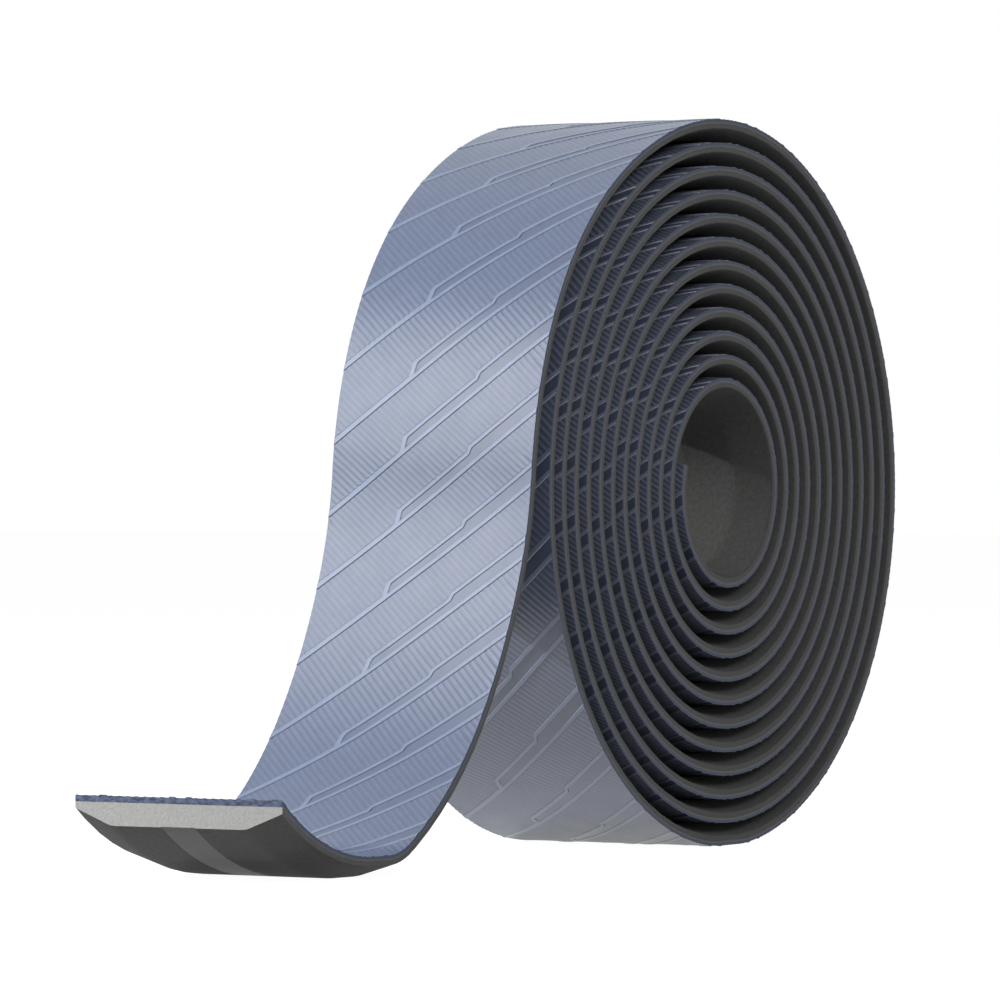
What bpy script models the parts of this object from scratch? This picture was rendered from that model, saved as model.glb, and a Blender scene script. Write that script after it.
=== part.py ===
# Handlebar tape roll: one long laminated tape wound on itself, its outer end left hanging
# down to the surface and curling up again. Metres, +Z up. The roll's axis runs along Y, the
# origin is on the surface below that axis, and the loose end points towards -X.

import math

import bmesh
import bpy
from mathutils import Vector

for old in list(bpy.data.objects):
    bpy.data.objects.remove(old, do_unlink=True)

# Tape section. Depths are counted from the grip face towards the back.
TAPE_WIDTH = 0.030
SKIN_THICKNESS = 0.0007
FOAM_THICKNESS = 0.0021
GLUE_LINE = 0.0001
EDGE_HEIGHT = 0.0005
BEVEL_WIDTH = 0.0053
STRIP_WIDTH = 0.005
STRIP_THICKNESS = 0.0002

# Roll
CORE_RADIUS = 0.0095
TURN_GAP = 0.00025
WOUND_ANGLE = math.radians(4065.6)
PEEL_ANGLE = math.radians(200.9)
FLAT_SPOT_LENGTH = 0.0067
FACETS_PER_TURN = 24

# Loose end, as bends that follow each other: length, then heading below the horizontal.
PEEL_LENGTH, PEEL_HEADING = 0.0152, math.radians(35.2)
SHOULDER_LENGTH, SHOULDER_HEADING = 0.0245, math.radians(65.4)
DROP_LENGTH, DROP_HEADING = 0.0194, math.radians(84.8)
HANG_HEADING = math.radians(70)
SWEEP_LENGTH, SWEEP_HEADING = 0.0209, math.radians(53.7)
RUN_LENGTH, RUN_HEADING = 0.0223, math.radians(29)
LANDING_LENGTH = 0.005
REST_LENGTH = 0.003
TIP_LENGTH, TIP_HEADING = 0.023, math.radians(-40)
BEND_FACET = math.radians(7)

FOAM_TOP = SKIN_THICKNESS + GLUE_LINE
TAPE_THICKNESS = FOAM_TOP + FOAM_THICKNESS
PITCH = TAPE_THICKNESS + TURN_GAP
HALF_WIDTH = TAPE_WIDTH / 2

# Colours, linear
SLATE_BLUE = (0.115, 0.150, 0.260, 1)
CHARCOAL = (0.050, 0.050, 0.048, 1)
STRIP_GREY = (0.095, 0.095, 0.093, 1)


def roll_radius(angle):
    """Radius of the grip face, with angle 0 at the outermost bottom of the roll."""
    return CORE_RADIUS + TAPE_THICKNESS + PITCH * (WOUND_ANGLE + angle) / math.tau


def roll_angles():
    """Stations from the inner end to where the tape leaves the roll. Every turn has them at
    the same places, so that facets of neighbouring turns lie parallel, and one short facet
    of each turn is centred straight below the axis."""
    half_flat = math.asin(FLAT_SPOT_LENGTH / 2 / roll_radius(0))
    step = (math.tau - 2 * half_flat) / FACETS_PER_TURN
    first_turn = -math.ceil(WOUND_ANGLE / math.tau)
    angles = [-WOUND_ANGLE]
    for turn in range(first_turn, 1):
        for facet in range(FACETS_PER_TURN + 1):
            angle = turn * math.tau + half_flat + facet * step
            if -WOUND_ANGLE + step / 4 < angle < PEEL_ANGLE - step / 4:
                angles.append(angle)
    return angles + [PEEL_ANGLE]


def roll_points():
    """Grip face of the wound tape, pressed flat where it would pass below the surface."""
    angles = roll_angles()
    half_flat = math.asin(FLAT_SPOT_LENGTH / 2 / roll_radius(0))
    axis_height = roll_radius(-half_flat) * math.cos(half_flat)
    points = []
    for angle in angles:
        radius = roll_radius(angle)
        height = axis_height - radius * math.cos(angle)
        points.append(Vector((radius * math.sin(angle), 0, max(height, 0))))
    return points


def direction(heading):
    return Vector((-math.cos(heading), 0, -math.sin(heading)))


def bend(start_heading, end_heading, length):
    """Chords of one bend: how far each goes, and its heading."""
    count = max(1, math.ceil(abs(end_heading - start_heading) / BEND_FACET))
    step = (end_heading - start_heading) / count
    return [(length / count, start_heading + step * (i + 0.5)) for i in range(count)]


def fall(chords):
    return sum(length * math.sin(heading) for length, heading in chords)


def loose_chords(start, heading):
    """Chords of the loose end. The hanging stretch is as long as it takes for the back of
    the tape to come down on the surface."""
    upper = bend(heading, PEEL_HEADING, PEEL_LENGTH)
    upper += bend(PEEL_HEADING, SHOULDER_HEADING, SHOULDER_LENGTH)
    upper += bend(SHOULDER_HEADING, DROP_HEADING, DROP_LENGTH)
    lower = bend(HANG_HEADING, SWEEP_HEADING, SWEEP_LENGTH)
    lower += bend(SWEEP_HEADING, RUN_HEADING, RUN_LENGTH)
    lower += bend(RUN_HEADING, 0, LANDING_LENGTH)
    left_to_fall = start.z - TAPE_THICKNESS - fall(upper) - fall(lower)
    hang_length = left_to_fall / fall(bend(DROP_HEADING, HANG_HEADING, 1))
    hang = bend(DROP_HEADING, HANG_HEADING, hang_length)
    tip = bend(0, TIP_HEADING, TIP_LENGTH)
    return upper + hang + lower + [(REST_LENGTH, 0)] + tip


def tape_path():
    """Points along the grip face, from the inner end of the roll to the loose end."""
    points = roll_points()
    run = points[-1] - points[-2]
    heading = math.atan2(-run.z, -run.x)
    for length, chord_heading in loose_chords(points[-1], heading):
        points.append(points[-1] + direction(chord_heading) * length)
    return points


def across(chord):
    """Unit vector through the tape, from the grip face to the back."""
    return Vector((-chord.z, 0, chord.x)).normalized()


def depth_vectors(points):
    """For each point the vector that one unit of depth takes. It is mitred between facets,
    so that every facet keeps the full thickness. The loose end is cut off upright."""
    through = [across(b - a) for a, b in zip(points, points[1:])]
    mitred = [through[0]]
    for a, b in zip(through, through[1:]):
        middle = (a + b).normalized()
        mitred.append(middle / middle.dot(a))
    down = Vector((0, 0, -1))
    mitred.append(down / down.dot(through[-1]))
    return mitred


def sweep(name, section, points, depths, material):
    """One layer of the tape: its section, as (y, depth) corners, run along the path."""
    body = bmesh.new()
    corner_of = body.verts.layers.int.new("corner")
    for corner, (y, depth) in enumerate(section):
        vert = body.verts.new(points[0] + depths[0] * depth + Vector((0, y, 0)))
        vert[corner_of] = corner
    end = body.faces.new(body.verts)
    for point, through in zip(points[1:], depths[1:]):
        grown = bmesh.ops.extrude_face_region(body, geom=[end, *end.edges])["geom"]
        end = next(item for item in grown if isinstance(item, bmesh.types.BMFace))
        for vert in end.verts:
            y, depth = section[vert[corner_of]]
            vert.co = point + through * depth + Vector((0, y, 0))
    bmesh.ops.recalc_face_normals(body, faces=body.faces)
    mesh = bpy.data.meshes.new(name)
    body.to_mesh(mesh)
    body.free()
    mesh.shade_smooth()
    mesh.set_sharp_from_angle(angle=math.radians(30))
    mesh.materials.append(material)
    layer = bpy.data.objects.new(name, mesh)
    bpy.context.scene.collection.objects.link(layer)
    return layer


def finish(name, colour, roughness):
    material = bpy.data.materials.new(name)
    material.use_nodes = True
    shader = material.node_tree.nodes["Principled BSDF"]
    shader.inputs["Base Color"].default_value = colour
    shader.inputs["Roughness"].default_value = roughness
    shader.inputs["Metallic"].default_value = 0
    material.diffuse_color = colour
    return material


def skin_section():
    return [
        (-HALF_WIDTH, 0),
        (HALF_WIDTH, 0),
        (HALF_WIDTH, SKIN_THICKNESS),
        (-HALF_WIDTH, SKIN_THICKNESS),
    ]


def foam_section():
    """A slab with bevelled back edges and a shallow seat for the strip along its middle."""
    back = HALF_WIDTH - BEVEL_WIDTH
    seat = STRIP_WIDTH / 2 + GLUE_LINE
    seat_top = TAPE_THICKNESS - STRIP_THICKNESS - GLUE_LINE
    half = [
        (HALF_WIDTH, FOAM_TOP),
        (HALF_WIDTH, FOAM_TOP + EDGE_HEIGHT),
        (back, TAPE_THICKNESS),
        (seat, TAPE_THICKNESS),
        (seat, seat_top),
    ]
    return half + [(-y, depth) for y, depth in reversed(half)]


def strip_section():
    edge = STRIP_WIDTH / 2
    top = TAPE_THICKNESS - STRIP_THICKNESS
    return [(-edge, top), (edge, top), (edge, TAPE_THICKNESS), (-edge, TAPE_THICKNESS)]


path = tape_path()
depth_steps = depth_vectors(path)

tape_roll = bpy.data.objects.new("tape_roll", None)
bpy.context.scene.collection.objects.link(tape_roll)

layers = (
    ("grip_skin", skin_section(), finish("embossed skin", SLATE_BLUE, 0.45)),
    ("foam_base", foam_section(), finish("foam", CHARCOAL, 0.9)),
    ("adhesive_strip", strip_section(), finish("adhesive", STRIP_GREY, 0.55)),
)
for layer_name, layer_section, layer_finish in layers:
    layer_object = sweep(layer_name, layer_section, path, depth_steps, layer_finish)
    layer_object.parent = tape_roll
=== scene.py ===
import bisect
import math

import bmesh
import bpy
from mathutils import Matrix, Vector


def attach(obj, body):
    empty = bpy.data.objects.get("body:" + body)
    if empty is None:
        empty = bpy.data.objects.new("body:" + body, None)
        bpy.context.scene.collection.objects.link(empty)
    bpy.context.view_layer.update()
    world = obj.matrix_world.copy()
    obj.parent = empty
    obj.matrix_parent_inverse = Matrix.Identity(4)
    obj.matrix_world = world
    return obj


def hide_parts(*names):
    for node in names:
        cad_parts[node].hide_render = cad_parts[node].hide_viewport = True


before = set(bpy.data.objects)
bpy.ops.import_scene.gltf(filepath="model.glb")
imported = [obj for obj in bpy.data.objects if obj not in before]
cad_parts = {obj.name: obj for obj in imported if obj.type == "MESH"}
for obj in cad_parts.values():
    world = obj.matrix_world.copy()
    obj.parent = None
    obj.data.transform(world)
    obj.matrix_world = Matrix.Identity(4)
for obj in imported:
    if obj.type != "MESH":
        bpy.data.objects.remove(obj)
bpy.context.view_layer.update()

mm = 0.001
print("frame loaded")

# Camera: level with the middle of the roll, in front and to the left of it
camera = {
    "lens": 231.7,
    "sensor": 36,
    "place": (-0.75571, -0.43209, 0.04707),
    "turn": -59.08,  # degrees round the roll
    "rise": 0.05,    # degrees above the horizon
    "clip": (0.05, 50),
}


def placeCamera():
    data = bpy.data.cameras.new("rollCamera")
    data.lens = camera["lens"]
    data.sensor_width = camera["sensor"]
    data.clip_start, data.clip_end = camera["clip"]
    shot = bpy.data.objects.new("rollCamera", data)
    turn = math.radians(camera["turn"])
    rise = math.radians(camera["rise"])
    level = math.cos(rise)
    look = Vector((-math.sin(turn) * level, math.cos(turn) * level, -math.sin(rise)))
    shot.location = camera["place"]
    shot.rotation_mode = "QUATERNION"
    shot.rotation_quaternion = look.to_track_quat("-Z", "Y")
    bpy.context.scene.collection.objects.link(shot)
    bpy.context.scene.camera = shot


placeCamera()

# The tape's route in the plane across the roll's axis. Lengths are in millimetres here and
# in the flat tape below, headings in degrees below the horizontal.
roll = {
    "coreRadius": 9.5,  # back of the first turn
    "turnGap": 0.25,
    "wound": 4065.6,    # degrees from the inner end to the lowest point of the last turn
    "peel": 200.9,      # degrees from there to where the tape leaves the roll
    "flatSpot": 6.7,
    "step": 1.5,        # degrees between stations
}
looseEnd = {
    "upper": ((15.2, 35.2), (24.5, 65.4), (19.4, 84.8)),  # length, heading reached
    "hang": 70,
    "lower": ((20.9, 53.7), (22.3, 29), (5, 0)),
    "rest": 3,
    "tip": (23, -40),
    "step": 1,          # degrees of bend between stations
    "squareCut": 3.8,   # the end is cut upright over this length
}
tape = {
    "halfWidth": 15,
    "skin": 0.7,
    "thickness": 2.9,
    "crease": 40,       # degrees past which a bend across the flat tape is an edge
}
# how near counts as the same place, in millimetres
near = {
    "reach": 0.01,
    "joined": 1e-3,
    "same": 1e-4,
    "cut": 1e-5,
}


def rollRadius(angle):
    pitch = tape["thickness"] + roll["turnGap"]
    return roll["coreRadius"] + tape["thickness"] + pitch * (roll["wound"] + angle) / 360


def woundRoute():
    halfFlat = math.asin(roll["flatSpot"] / 2 / rollRadius(0))
    axisHeight = rollRadius(-math.degrees(halfFlat)) * math.cos(halfFlat)
    count = round((roll["wound"] + roll["peel"]) / roll["step"])
    route = []
    for i in range(count + 1):
        angle = -roll["wound"] + (roll["wound"] + roll["peel"]) * i / count
        radius = rollRadius(angle)
        z = axisHeight - radius * math.cos(math.radians(angle))
        route.append(Vector((radius * math.sin(math.radians(angle)), 0, max(z, 0))))
    return route


def bend(start, end, length):
    count = max(1, math.ceil(abs(end - start) / looseEnd["step"]))
    turn = (end - start) / count
    return [(length / count, math.radians(start + turn * (i + 0.5))) for i in range(count)]


def bends(start, parts):
    chords = []
    for length, heading in parts:
        chords += bend(start, heading, length)
        start = heading
    return chords


def fall(chords):
    return sum(length * math.sin(heading) for length, heading in chords)


def tapeRoute():
    route = woundRoute()
    run = route[-1] - route[-2]
    upper = bends(math.degrees(math.atan2(-run.z, -run.x)), looseEnd["upper"])
    lower = bends(looseEnd["hang"], looseEnd["lower"])
    drop = looseEnd["upper"][-1][1]
    left = route[-1].z - tape["thickness"] - fall(upper) - fall(lower)
    hangLength = left / fall(bend(drop, looseEnd["hang"], 1))
    hang = bend(drop, looseEnd["hang"], hangLength)
    tip = bend(0, looseEnd["tip"][1], looseEnd["tip"][0])
    for length, heading in upper + hang + lower + [(looseEnd["rest"], 0)] + tip:
        route.append(route[-1] - Vector((math.cos(heading), 0, math.sin(heading))) * length)
    return route


def makeStations():
    # distance from the loose end, place of the grip face, direction through the tape as it is
    # cut and as it lies
    route = tapeRoute()[::-1]
    run = [(a - b).normalized() for a, b in zip(route, route[1:])]
    through = [Vector((-r.z, 0, r.x)) for r in run]
    stations = []
    distance = 0
    for i, place in enumerate(route):
        if i:
            distance += (place - route[i - 1]).length
        before = through[max(i - 1, 0)]
        after = through[min(i, len(through) - 1)]
        across = (before + after).normalized()
        square = max(0, 1 - distance / looseEnd["squareCut"])
        cut = across.lerp(Vector((0, 0, -1)) / -across.z, square) if square else across
        stations.append((distance, place, cut, across))
    return stations


stations = makeStations()
distances = [s[0] for s in stations]
tapeLength = distances[-1]


def onTape(distance, y, depth):
    # the place in metres, and the direction out of the grip face; depth counts from that face
    i = min(max(bisect.bisect_right(distances, distance), 1), len(stations) - 1)
    start, startPlace, startCut, startAcross = stations[i - 1]
    end, endPlace, endCut, endAcross = stations[i]
    part = (distance - start) / (end - start)
    place = startPlace.lerp(endPlace, part) + startCut.lerp(endCut, part) * depth
    return Vector((place.x, y, place.z)) * mm, -startAcross.lerp(endAcross, part)


# The layers are cut across so that they can bend, after so many degrees or millimetres
bending = {
    "degrees": 4.4,
    "distance": 3,
    "endMargin": 0.2,  # no cut lies nearer than this to the end of a piece of skin
}


def sectionCuts():
    cuts = []
    last, _, lastCut, _ = stations[0]
    for distance, _, cut, _ in stations[1:-1]:
        turned = math.degrees(cut.angle(lastCut))
        if turned > bending["degrees"] or distance - last > bending["distance"]:
            cuts.append(distance)
            last, lastCut = distance, cut
    return cuts


cuts = sectionCuts()
print("tape route:", round(tapeLength), "mm of tape,", len(cuts), "cuts")

# Embossing: slanted double lines that fork off a single one, with fine ribs across between
# them. "along" counts along the tape from the loose end.
emboss = {
    "linePitch": 10.7,
    "lineSlant": 0.865,   # mm along for each mm across
    "firstLine": -0.4,
    "ribsPerPitch": 10,
    "ribSlant": 0.809,    # ribs for each mm across
    "ribHeights": (0, 1, 0.15),  # across one rib, as shares of its height
    "ribsBefore": 26,     # ribs made on the side of y > 0; the other side has more
    "ribHeight": 0.05,
    "lineHeight": 0.10,
    "fork": 4.35,         # y where the second line leaves the first
    "jog": -5.55,         # y where it steps further away
    "jogStep": 0.7,
    "stepWidth": 0.35,
    "band": 9.4,          # wound-in turns are embossed only beyond this y, where they show
    "overlap": 12,        # the fully embossed stretch reaches this far under the loose end
    "searchSteps": 24,
    "searchMargin": 2,
}
# How the pattern is shifted at the tip and drawn together where the loose end hangs: by how
# much, and between which distances from the loose end. The wound-in turns hold more of it.
stretch = {
    "tip": (0.9, 45, 66),
    "hang": (3.0, 68, 102),
    "wound": 0.4,
}
peelDistance = distances[len(stations) - len(woundRoute())]
seam = peelDistance + math.tau * rollRadius(roll["peel"] - 180) + emboss["overlap"]


def ease(value, start, end):
    part = min(max((value - start) / (end - start), 0), 1)
    return part * part * (3 - 2 * part)


def alongAt(distance):
    tip, tipStart, tipEnd = stretch["tip"]
    hang, hangStart, hangEnd = stretch["hang"]
    along = distance + tip * (1 - ease(distance, tipStart, tipEnd))
    along += hang * ease(distance, hangStart, hangEnd)
    return along + max(0, distance - seam) * stretch["wound"]


alongs = [alongAt(d) for d in distances]


def distanceAt(along):
    i = min(max(bisect.bisect_right(alongs, along), 1), len(stations) - 1)
    part = (along - alongs[i - 1]) / (alongs[i] - alongs[i - 1])
    return distances[i - 1] + (distances[i] - distances[i - 1]) * part


# Rows of one repeat, from the side of the loose end inwards: place beside the single line,
# place where the lines are two, height in both, and how far up the fork the row steps.
lineRows = (
    (-0.50, -0.50, 0, 0, 0),
    (-0.37, -0.37, 1, 1, 0),
    (0.24, 0.24, 1, 1, 0),
    (0.31, 0.37, 1, 0, -0.33),
    (0.37, 1.61, 1, 0, -0.33),
    (0.42, 1.74, 1, 1, -0.33),
    (0.48, 2.35, 1, 1, 0.33),
    (0.61, 2.48, 0, 0, 0.33),
)
ribRows = ((0.67, 2.54), 5.5, 10.15)  # rows that carry the ribs; the first keeps off the lines
rowCount = len(lineRows) + len(ribRows)


def rowPlace(row, y):
    # where a row runs at y, and how high it stands there
    halfStep = emboss["stepWidth"] / 2
    if row < len(lineRows):
        single, double, low, high, shift = lineRows[row]
    elif row == len(lineRows):
        single, double, low, high, shift = *ribRows[0], 0, 0, lineRows[-1][-1]
    else:
        return ribRows[row - len(lineRows)], 0
    forked = ease(-y, -(emboss["fork"] + shift + halfStep), -(emboss["fork"] + shift - halfStep))
    place = single + (double - single) * forked
    if double > 1:
        middle = emboss["jog"] + shift / 2
        place += emboss["jogStep"] * ease(-y, -(middle + halfStep), -(middle - halfStep))
    return place, low + (high - low) * forked


def onRib(place, rib):
    # y of the point where a rib passes that place across the lines
    perMm = emboss["ribsPerPitch"] / emboss["linePitch"]
    return (perMm * place - rib) / (perMm * emboss["lineSlant"] + emboss["ribSlant"])


def embossPoint(row, rib):
    if row == rowCount:
        place = emboss["linePitch"] + lineRows[0][0]
        return place, onRib(place, rib), 0
    # closes in on the place where the row and the rib cross
    low, high = -emboss["searchMargin"], emboss["linePitch"] + emboss["searchMargin"]
    for _ in range(emboss["searchSteps"]):
        place = (low + high) / 2
        if place < rowPlace(row, onRib(place, rib))[0]:
            low = place
        else:
            high = place
    y = onRib(place, rib)
    height = rowPlace(row, y)[1] * emboss["lineHeight"]
    if row >= len(lineRows):
        steps = emboss["ribHeights"]
        height = emboss["ribHeight"] * steps[round(rib * len(steps)) % len(steps)]
    return place, y, height


def makeRepeat():
    # one repeat of the embossing in the flat, trimmed to the tape's width
    body = bmesh.new()
    steps = len(emboss["ribHeights"])
    before = emboss["ribsBefore"]
    columns = (2 * before + emboss["ribsPerPitch"]) * steps
    bmesh.ops.create_grid(body, x_segments=columns, y_segments=rowCount, size=0.5)
    ribMiddle = len(lineRows) + 1
    for vert in body.verts:
        rib = round((vert.co.x + 0.5) * columns) / steps - before
        row = round((vert.co.y + 0.5) * rowCount)
        place, y, height = embossPoint(row, rib)
        vert.co = (place - emboss["lineSlant"] * y, y, height - emboss["lineHeight"])
        vert.tag = row == ribMiddle
    for edge in body.edges:
        # every row is a crease but the one through the middle of the ribs
        a, b = edge.verts
        alongRow = abs(a.index - b.index) == 1
        edge.smooth = not alongRow or a.tag
    for side in (-1, 1):
        trim(body, (0, side * tape["halfWidth"], 0), (0, side, 0))
    return body


def trim(body, place, normal):
    # takes away what lies beyond a plane; only what reaches near the plane is looked at
    place, normal = Vector(place), Vector(normal)
    faces = [f for f in body.faces
             if max((v.co - place).dot(normal) for v in f.verts) > -near["reach"]]
    edges = dict.fromkeys(e for f in faces for e in f.edges)
    verts = dict.fromkeys(v for f in faces for v in f.verts)
    bmesh.ops.bisect_plane(body, geom=[*faces, *edges, *verts], dist=near["cut"],
                           plane_co=place, plane_no=normal, clear_outer=True)


def closeFlat(body, edges, places):
    # fills a flat outline with faces that run across the tape from one cut to the next
    same = near["same"]
    outline = list(edges)
    for edge in edges:
        ends = sorted(edge.verts, key=lambda v: v.co.x)
        low, high = ends[0].co.x, ends[1].co.x
        after = bisect.bisect(places, low + same)
        before = bisect.bisect(places, high - same)
        for place in reversed(places[after:before]):
            part = (place - low) / (ends[1].co.x - low)
            piece, middle = bmesh.utils.edge_split(edge, ends[0], part)
            outline.append(piece)
            edge = next(e for e in middle.link_edges if ends[0] in e.verts)
            ends[1] = middle
    outline = list(dict.fromkeys(outline))
    corners = {}
    for edge in outline:
        for vert in edge.verts:
            i = bisect.bisect(places, vert.co.x - same)
            if i < len(places) and abs(places[i] - vert.co.x) < same:
                corners.setdefault(i, []).append(vert)
    rungs = []
    for verts in corners.values():
        verts.sort(key=lambda v: v.co.y)
        rungs.append(body.edges.new((verts[0], verts[-1])))
    bmesh.ops.edgenet_fill(body, edges=outline + rungs)


def clearMiddle(body):
    # leaves the embossing only in a band along each edge
    for side in (-1, 1):
        everything = body.verts[:] + body.edges[:] + body.faces[:]
        bmesh.ops.bisect_plane(body, geom=everything, dist=near["cut"], plane_no=(0, side, 0),
                               plane_co=(0, side * emboss["band"], 0))
    middle = [f for f in body.faces if abs(f.calc_center_median().y) < emboss["band"]]
    bmesh.ops.delete(body, geom=middle, context="FACES")
    for vert in body.verts:
        if abs(vert.co.y) < emboss["band"] + near["same"]:
            vert.co.z = -emboss["lineHeight"]


def joinRepeats(start, end, bandsOnly):
    # the embossed face in the flat between two distances from the loose end
    pitch = emboss["linePitch"]
    origin = emboss["firstLine"]
    spread = emboss["lineSlant"] * tape["halfWidth"]
    first = math.floor((alongAt(start) - spread - origin) / pitch) - 1
    last = math.ceil((alongAt(end) + spread - origin) / pitch) + 1
    body = makeRepeat()
    if bandsOnly:
        clearMiddle(body)
    bmesh.ops.translate(body, verts=body.verts[:], vec=(origin + first * pitch, 0, 0))
    made = 1
    while made < last - first:
        # doubles the stretch, the last time only as far as needed
        more = min(made, last - first - made)
        limit = origin + (first + more) * pitch + lineRows[0][0]
        faces = []
        for face in body.faces:
            centre = face.calc_center_median()
            if centre.x + emboss["lineSlant"] * centre.y < limit:
                faces.append(face)
        copy = bmesh.ops.duplicate(body, geom=faces)["geom"]
        verts = [item for item in copy if isinstance(item, bmesh.types.BMVert)]
        bmesh.ops.translate(body, verts=verts, vec=(made * pitch, 0, 0))
        made += more
    bmesh.ops.remove_doubles(body, verts=body.verts[:], dist=near["joined"])
    trim(body, (alongAt(start), 0, 0), (-1, 0, 0))
    trim(body, (alongAt(end), 0, 0), (1, 0, 0))
    return body


# places in a piece's list of materials: 0 is its face, or its back
sideSlot = 1
endSlot = 2


def makeSkin(name, start, end, materials, bandsOnly=False):
    body = joinRepeats(start, end, bandsOnly)
    margin = bending["endMargin"]
    places = [alongAt(c) for c in cuts if start + margin < c < end - margin]
    if bandsOnly:
        closeMiddle(body, start, end, places)
    edge = [e for e in body.edges if e.is_boundary]
    grown = bmesh.ops.extrude_edge_only(body, edges=edge)["geom"]
    for item in grown:
        if isinstance(item, bmesh.types.BMVert):
            item.co.z = -tape["skin"]
        elif isinstance(item, bmesh.types.BMFace):
            atEnd = max(v.co.x for v in item.verts) < alongs[0] + near["same"]
            item.material_index = endSlot if atEnd else sideSlot
    under = [item for item in grown
             if isinstance(item, bmesh.types.BMEdge) and item.is_boundary]
    closeFlat(body, under, places)
    piece = wrap(name, body, materials)
    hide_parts("grip_skin")


def closeMiddle(body, start, end, places):
    # the plain middle of the wound-in turns
    band = emboss["band"]
    joined = near["joined"]
    for along in (alongAt(start), alongAt(end)):
        ends = [v for v in body.verts
                if abs(v.co.x - along) < joined and abs(abs(v.co.y) - band) < joined]
        ends.sort(key=lambda v: v.co.y)
        body.edges.new((ends[0], ends[-1]))
    inner = [e for e in body.edges if (e.is_boundary or e.is_wire)
             and all(abs(v.co.y) < band + joined for v in e.verts)]
    closeFlat(body, inner, places)


def wrap(name, body, materials):
    # from the flat onto the route, then made an object; the flat's normals are bent with it,
    # so that long faces shade as round as the tape lies
    depthOf = body.verts.layers.float.new("depth")
    woundOf = body.verts.layers.float.new("wound")
    flat = body.loops.layers.uv.new("flatTape")
    for vert in body.verts:
        vert[depthOf] = -vert.co.z
        vert.co.x = distanceAt(vert.co.x)
        # how much of the wound-in turns' stronger painted sheen and painted shade the skin takes
        vert[woundOf] = ease(vert.co.x, (peelDistance + seam) / 2, seam)
    bmesh.ops.recalc_face_normals(body, faces=body.faces[:])
    for face in body.faces:
        face.smooth = True
        for loop in face.loops:
            loop[flat].uv = (loop.vert.co.x * mm, loop.vert.co.y * mm)
    for edge in body.edges:
        if edge.calc_face_angle(0) > math.radians(tape["crease"]):
            edge.smooth = False
    mesh = bpy.data.meshes.new(name)
    body.to_mesh(mesh)
    body.free()
    flatNormals = [corner.vector.copy() for corner in mesh.corner_normals]
    outward = []
    for vert in mesh.vertices:
        distance, y, height = vert.co
        vert.co, out = onTape(distance, y, -height)
        outward.append(out)
    bentNormals = []
    for loop, normal in zip(mesh.loops, flatNormals):
        out = outward[loop.vertex_index]
        inward = Vector((out.z, 0, -out.x))
        bentNormals.append(inward * normal.x + Vector((0, normal.y, 0)) + out * normal.z)
    mesh.update()
    mesh.normals_split_custom_set(bentNormals)
    for material in materials:
        mesh.materials.append(material)
    piece = bpy.data.objects.new(name, mesh)
    bpy.context.scene.collection.objects.link(piece)
    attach(piece, "root")
    print(name, sum(len(face.vertices) - 2 for face in mesh.polygons), "triangles")
    return piece


# Foam: bevelled back edges, a shallow seat for the strip. Half section as (y, depth).
foam = {
    "section": ((15, 0.7), (15, 1.26), (14.9, 1.34), (14.6, 1.44), (10.3, 2.74), (9.8, 2.86),
                (9.1, 2.9), (2.5, 2.9), (2.48, 2.84)),
    "fill": 0.95,
    "endFacing": 0.9,   # how far a face of the cut end looks along the tape
    "sideFacing": 0.6,  # and a face of the long sides across it
    "sideFrom": 14,     # y from where those lie
}
strip = {
    "halfWidth": 2.46,
    "thickness": 0.05,
}


def makeSlab(section):
    # a flat section, as (y, depth) corners, drawn out along the whole tape
    places = [0, *cuts, tapeLength]
    body = bmesh.new()
    bmesh.ops.create_grid(body, x_segments=len(places) - 1, y_segments=len(section), size=0.5)
    for vert in body.verts:
        place = places[round((vert.co.x + 0.5) * (len(places) - 1))]
        y, depth = section[round((vert.co.y + 0.5) * len(section)) % len(section)]
        vert.co = (alongAt(place), y, -depth)
    bmesh.ops.remove_doubles(body, verts=body.verts[:], dist=near["same"])
    bmesh.ops.holes_fill(body, edges=[e for e in body.edges if e.is_boundary])
    bmesh.ops.recalc_face_normals(body, faces=body.faces[:])
    return body


def makeFoam(materials):
    half = foam["section"]
    section = list(half) + [(-y, depth) for y, depth in reversed(half)]
    body = makeSlab(section)
    for face in body.faces:
        outer = abs(face.calc_center_median().y) > foam["sideFrom"]
        if abs(face.normal.x) > foam["endFacing"]:
            face.material_index = endSlot
        elif abs(face.normal.y) > foam["sideFacing"] and outer:
            face.material_index = sideSlot
    piece = wrap("foamBase", body, materials)
    return piece


def makeStrip(material):
    edge = strip["halfWidth"]
    back = tape["thickness"]
    front = back - strip["thickness"]
    section = [(-edge, front), (edge, front), (edge, back), (-edge, back)]
    return wrap("adhesiveStrip", makeSlab(section), (material,))


# Finishes, as colours; the skin's are those of its ridges, ribs and valleys, where the lighter
# ridge and rib tops are a painted highlight and the darker valleys painted shade
finishes = {
    "skinShownPaintedLight": ((0.118, 0.153, 0.238), (0.077, 0.103, 0.171), (0.058, 0.078, 0.135)),
    # the wound-in turns: ribs painted pale as a painted sheen, valleys painted dark as painted
    # shade in the grooves between the turns
    "skinWoundPaintedLight": ((0.180, 0.200, 0.260), (0.190, 0.208, 0.268), (0.058, 0.072, 0.116)),
    "skinDeep": (0.022, 0.033, 0.070),
    "skinUnder": (0.070, 0.073, 0.080),
    "fibreDark": (0.014, 0.018, 0.036),
    "fibreLight": (0.060, 0.080, 0.135),
    "foamBack": (0.045, 0.045, 0.044),
    "foamSide": (0.076, 0.077, 0.076),
    "foamCut": (0.235, 0.235, 0.231),
    "strip": (0.044, 0.044, 0.043),
}


def newMaterial(name):
    material = bpy.data.materials.new(name)
    material.use_nodes = True
    tree = material.node_tree
    return material, tree, tree.nodes["Principled BSDF"]


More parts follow.
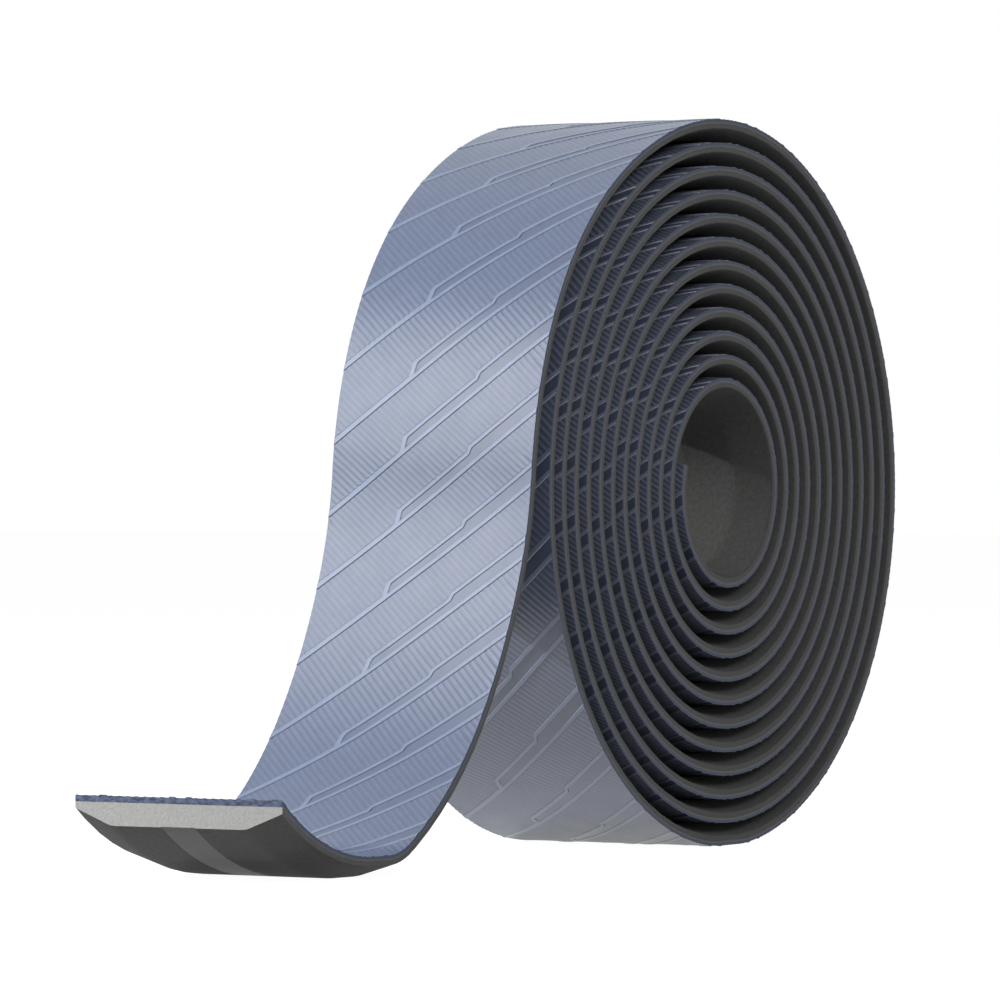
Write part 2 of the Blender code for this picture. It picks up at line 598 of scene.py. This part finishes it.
def noiseOf(tree, scale, detail, stretched=(1, 1, 1)):
    coords = tree.nodes.new("ShaderNodeTexCoord")
    mapping = tree.nodes.new("ShaderNodeMapping")
    mapping.inputs["Scale"].default_value = stretched
    noise = tree.nodes.new("ShaderNodeTexNoise")
    noise.inputs["Scale"].default_value = scale
    noise.inputs["Detail"].default_value = detail
    tree.links.new(coords.outputs["Object"], mapping.inputs["Vector"])
    tree.links.new(mapping.outputs["Vector"], noise.inputs["Vector"])
    return noise.outputs["Fac"]


def rampOf(tree, value, stops):
    ramp = tree.nodes.new("ShaderNodeValToRGB")
    ramp.color_ramp.elements[0].position = stops[0][0]
    ramp.color_ramp.elements[0].color = (*stops[0][1], 1)
    ramp.color_ramp.elements[1].position = stops[-1][0]
    ramp.color_ramp.elements[1].color = (*stops[-1][1], 1)
    for place, colour in stops[1:-1]:
        ramp.color_ramp.elements.new(place).color = (*colour, 1)
    tree.links.new(value, ramp.inputs["Fac"])
    return ramp.outputs["Color"]


def bumpOf(tree, shader, height, strength, distance):
    bump = tree.nodes.new("ShaderNodeBump")
    bump.inputs["Strength"].default_value = strength
    bump.inputs["Distance"].default_value = distance
    tree.links.new(height, bump.inputs["Height"])
    tree.links.new(bump.outputs["Normal"], shader.inputs["Normal"])


def grey(tone):
    return (tone, tone, tone)


def scaled(colour, factor):
    return tuple(c * factor for c in colour)


def mixed(tree, first, second, blend="MIX"):
    mix = tree.nodes.new("ShaderNodeMix")
    mix.data_type = "RGBA"
    mix.blend_type = blend
    mix.inputs["Factor"].default_value = 1
    # by number, because the sockets for colours share their names with those for other types
    tree.links.new(first, mix.inputs[6])
    tree.links.new(second, mix.inputs[7])
    return mix.outputs[2], mix.inputs["Factor"]


def tinted(tree, colour, tint):
    return mixed(tree, colour, tint, "MULTIPLY")[0]


def attributeOf(tree, name):
    attribute = tree.nodes.new("ShaderNodeAttribute")
    attribute.attribute_name = name
    return attribute.outputs["Fac"]


def skinFinish():
    # satin polyurethane; by depth the ridge and rib tops are painted lighter, a painted
    # highlight, and the valleys darker, painted shade, most so on the wound-in turns between the
    # turns
    material, tree, shader = newMaterial("embossedSkin")
    depths = (0, emboss["lineHeight"] - emboss["ribHeight"], emboss["lineHeight"])
    depth = attributeOf(tree, "depth")
    shown = rampOf(tree, depth, list(zip(depths, finishes["skinShownPaintedLight"])))
    wound = rampOf(tree, depth, list(zip(depths, finishes["skinWoundPaintedLight"])))
    face, share = mixed(tree, shown, wound)
    tree.links.new(attributeOf(tree, "wound"), share)
    grain = rampOf(tree, noiseOf(tree, 900, 3), ((0.3, grey(0.94)), (0.7, grey(1.06))))
    tree.links.new(tinted(tree, face, grain), shader.inputs["Base Color"])
    rough = rampOf(tree, noiseOf(tree, 260, 4), ((0.3, grey(0.33)), (0.7, grey(0.38))))
    tree.links.new(rough, shader.inputs["Roughness"])
    shader.inputs["Specular IOR Level"].default_value = 1
    bumpOf(tree, shader, noiseOf(tree, 5200, 2), 0.2, 0.00003)
    return material


def skinSideFinish():
    # the long cut edges: dark colour coat over a paler layer
    material, tree, shader = newMaterial("skinSide")
    coat, under = finishes["skinDeep"], finishes["skinUnder"]
    layers = rampOf(tree, attributeOf(tree, "depth"),
                    ((0, coat), (0.40, coat), (0.48, under), (tape["skin"], under)))
    grain = rampOf(tree, noiseOf(tree, 3000, 3), ((0.3, grey(0.85)), (0.7, grey(1.15))))
    tree.links.new(tinted(tree, layers, grain), shader.inputs["Base Color"])
    shader.inputs["Roughness"].default_value = 0.6
    return material


def skinEndFinish():
    # the cut across the tape, where the fibres in the skin show
    material, tree, shader = newMaterial("skinEnd")
    fibres = noiseOf(tree, 2600, 4, (1, 0.45, 1))
    dark, light = finishes["fibreDark"], finishes["fibreLight"]
    tint = rampOf(tree, fibres, ((0.36, dark), (0.64, light)))
    tree.links.new(tint, shader.inputs["Base Color"])
    shader.inputs["Roughness"].default_value = 0.7
    bumpOf(tree, shader, fibres, 0.6, 0.0003)
    return material


def foamFinish(name, colour, spread, scale, strength):
    material, tree, shader = newMaterial(name)
    cells = noiseOf(tree, scale, 5)
    dark, light = scaled(colour, 1 - spread), scaled(colour, 1 + spread)
    tint = rampOf(tree, cells, ((0.32, dark), (0.68, light)))
    tree.links.new(tint, shader.inputs["Base Color"])
    shader.inputs["Roughness"].default_value = 0.9
    bumpOf(tree, shader, cells, strength, 0.0002)
    return material


def stripFinish():
    material, tree, shader = newMaterial("adhesiveFilm")
    cloud = noiseOf(tree, 700, 4)
    film = finishes["strip"]
    tint = rampOf(tree, cloud, ((0.3, scaled(film, 0.92)), (0.7, scaled(film, 1.08))))
    tree.links.new(tint, shader.inputs["Base Color"])
    shader.inputs["Roughness"].default_value = 0.6
    bumpOf(tree, shader, cloud, 0.2, 0.0001)
    return material


skinMaterials = (skinFinish(), skinSideFinish(), skinEndFinish())
foamMaterials = (
    foamFinish("foamBack", finishes["foamBack"], 0.15, 1800, 0.4),
    foamFinish("foamSide", finishes["foamSide"], 0.10, 2600, 0.3),
    foamFinish("foamCut", finishes["foamCut"], 0.14, 5200, 0.4),
)
print("finishes made")

# the skin is four pieces end to end: all that shows its face, then the wound-in turns
makeSkin("gripSkin", 0, seam, skinMaterials)
third = (tapeLength - seam) / 3
makeSkin("gripSkinOuter", seam, seam + third, skinMaterials, bandsOnly=True)
makeSkin("gripSkinMiddle", seam + third, tapeLength - third, skinMaterials, bandsOnly=True)
makeSkin("gripSkinInner", tapeLength - third, tapeLength, skinMaterials, bandsOnly=True)

foamPiece = makeFoam(foamMaterials)
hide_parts("foam_base")

stripPiece = makeStrip(stripFinish())
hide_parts("adhesive_strip")
print("tape made")

# Floor, background and lamps
studio = {
    "floorSize": 6,
    "floor": (0.55, 0.55, 0.55),
    "floorGlow": 1.473,
    "glowShare": 0.66,
    "worldLight": 0.08,
    "smallLamp": 0.1,
    "lamps": (
        # name, place, aimed at, size, watts
        ("softBox", (-0.235, 0.12, 0.166), (-0.055, 0, 0.06), 0.17, 0.34),
        ("backLamp", (-0.30, 0.65, 0.325), (0, 0, 0.05), 0.012, 10.5),
        ("leftLamp", (-0.9, -0.6, 0.7), (0, 0, 0.05), 0.5, 1.6),
        ("frontLamp", (-0.55, -1.03, 0.78), (0, 0, 0.05), 0.5, 6.2),
    ),
}


def seenPlainly(tree):
    # 1 for what the camera sees, also in a reflection or through the surface
    path = tree.nodes.new("ShaderNodeLightPath")
    total = path.outputs["Is Camera Ray"]
    for ray in ("Is Glossy Ray", "Is Transmission Ray"):
        larger = tree.nodes.new("ShaderNodeMath")
        larger.operation = "MAXIMUM"
        tree.links.new(total, larger.inputs[0])
        tree.links.new(path.outputs[ray], larger.inputs[1])
        total = larger.outputs[0]
    return total


def makeFloor():
    body = bmesh.new()
    bmesh.ops.create_grid(body, x_segments=1, y_segments=1, size=studio["floorSize"])
    mesh = bpy.data.meshes.new("paleFloor")
    body.to_mesh(mesh)
    body.free()
    material, tree, shader = newMaterial("paleFloor")
    pale = studio["floor"]
    tone = rampOf(tree, noiseOf(tree, 3, 2), ((0.3, scaled(pale, 0.99)), (0.7, pale)))
    tree.links.new(tone, shader.inputs["Base Color"])
    shader.inputs["Roughness"].default_value = 1
    shader.inputs["Specular IOR Level"].default_value = 0
    glow = tree.nodes.new("ShaderNodeEmission")
    glow.inputs["Strength"].default_value = studio["floorGlow"]
    share = tree.nodes.new("ShaderNodeMath")
    share.operation = "MULTIPLY"
    share.inputs[1].default_value = studio["glowShare"]
    mix = tree.nodes.new("ShaderNodeMixShader")
    tree.links.new(seenPlainly(tree), share.inputs[0])
    tree.links.new(share.outputs[0], mix.inputs["Fac"])
    tree.links.new(shader.outputs["BSDF"], mix.inputs[1])
    tree.links.new(glow.outputs["Emission"], mix.inputs[2])
    tree.links.new(mix.outputs["Shader"], tree.nodes["Material Output"].inputs["Surface"])
    mesh.materials.append(material)
    floor = bpy.data.objects.new("paleFloor", mesh)
    bpy.context.scene.collection.objects.link(floor)


def makeLamps():
    for name, place, aim, size, watts in studio["lamps"]:
        data = bpy.data.lights.new(name, "AREA")
        data.size = size
        data.energy = watts
        lamp = bpy.data.objects.new(name, data)
        lamp.visible_camera = False
        lamp.visible_glossy = size > studio["smallLamp"]  # a small lamp would sparkle on the ribs
        lamp.location = place
        lamp.rotation_mode = "QUATERNION"
        lamp.rotation_quaternion = (Vector(aim) - Vector(place)).to_track_quat("-Z", "Y")
        bpy.context.scene.collection.objects.link(lamp)


def makeWorld():
    world = bpy.data.worlds.new("studio")
    world.use_nodes = True
    tree = world.node_tree
    tree.nodes.clear()
    light = tree.nodes.new("ShaderNodeBackground")
    light.inputs["Strength"].default_value = studio["worldLight"]
    white = tree.nodes.new("ShaderNodeBackground")
    white.inputs["Color"].default_value = (1, 1, 1, 1)
    light.inputs["Color"].default_value = (1, 1, 1, 1)
    mix = tree.nodes.new("ShaderNodeMixShader")
    out = tree.nodes.new("ShaderNodeOutputWorld")
    tree.links.new(seenPlainly(tree), mix.inputs["Fac"])
    tree.links.new(light.outputs["Background"], mix.inputs[1])
    tree.links.new(white.outputs["Background"], mix.inputs[2])
    tree.links.new(mix.outputs["Shader"], out.inputs["Surface"])
    bpy.context.scene.world = world


makeFloor()
makeLamps()
makeWorld()
bpy.context.scene.view_settings.view_transform = "Standard"
print("studio made")
